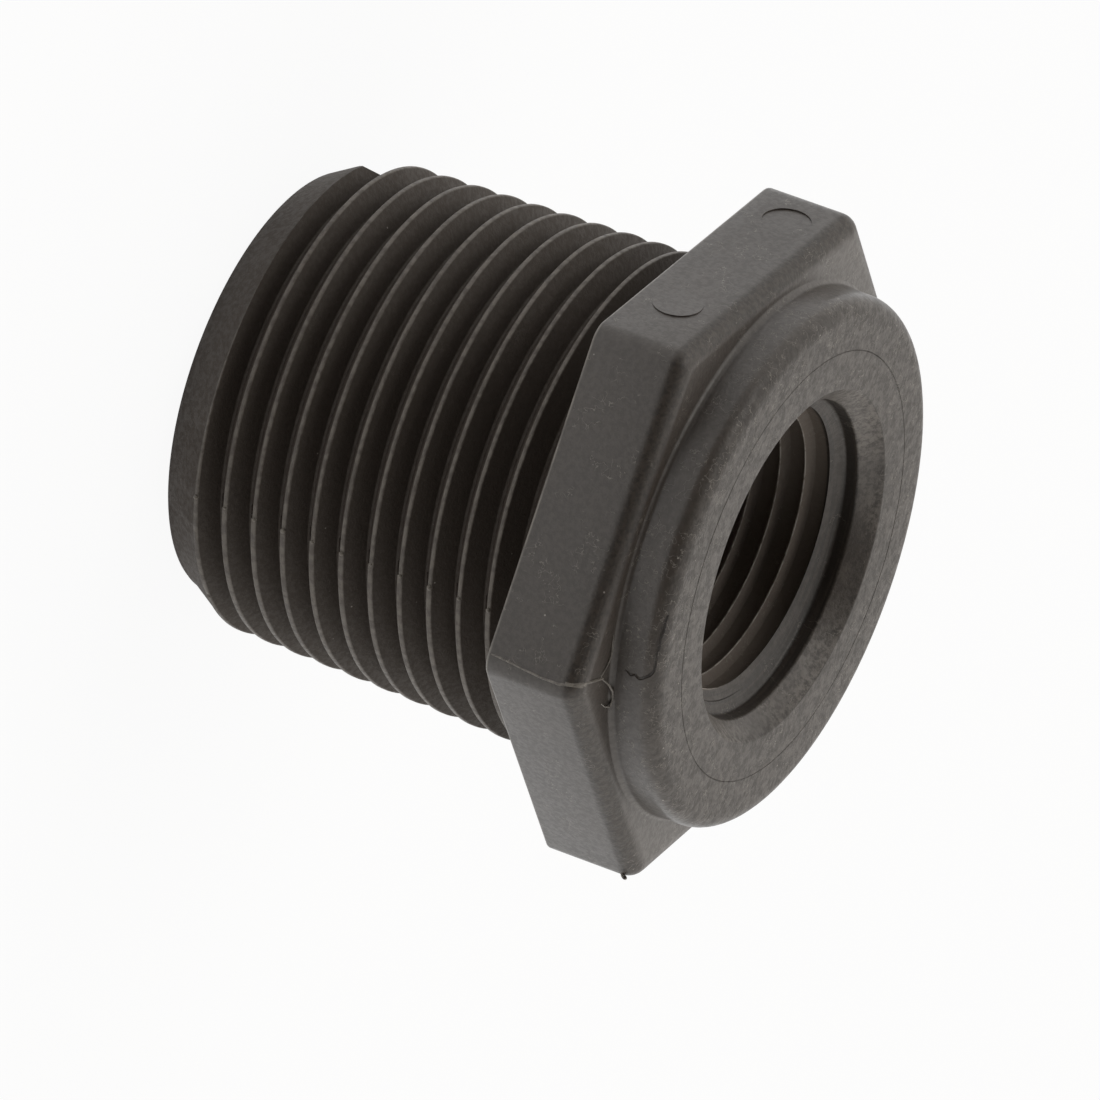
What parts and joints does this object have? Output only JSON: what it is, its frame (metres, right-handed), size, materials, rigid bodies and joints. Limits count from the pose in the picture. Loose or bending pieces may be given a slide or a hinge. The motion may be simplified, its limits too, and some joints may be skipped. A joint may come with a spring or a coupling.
{
  "type": "hex bushing",
  "caption": "Moulded reducing pipe bushing: a tapered male pipe thread, a hexagon under a round collar, and a smaller female pipe thread inside the collar.",
  "frame": {"origin": "centre of the end of the male threaded shank, which is also the centre of the base of the bounding box", "axes": "+Z along the pipe axis from the end of the shank up to the collar's face, -Y out of one flat of the hexagon, X across two corners of the hexagon"},
  "size_m": [0.0448, 0.0392, 0.0381],
  "materials": {
    "body": "matte, fine moulded grain, warm dark grey"
  },
  "bodies": {
    "root": {"hex_bushing": "body"}
  },
  "joints": []
}
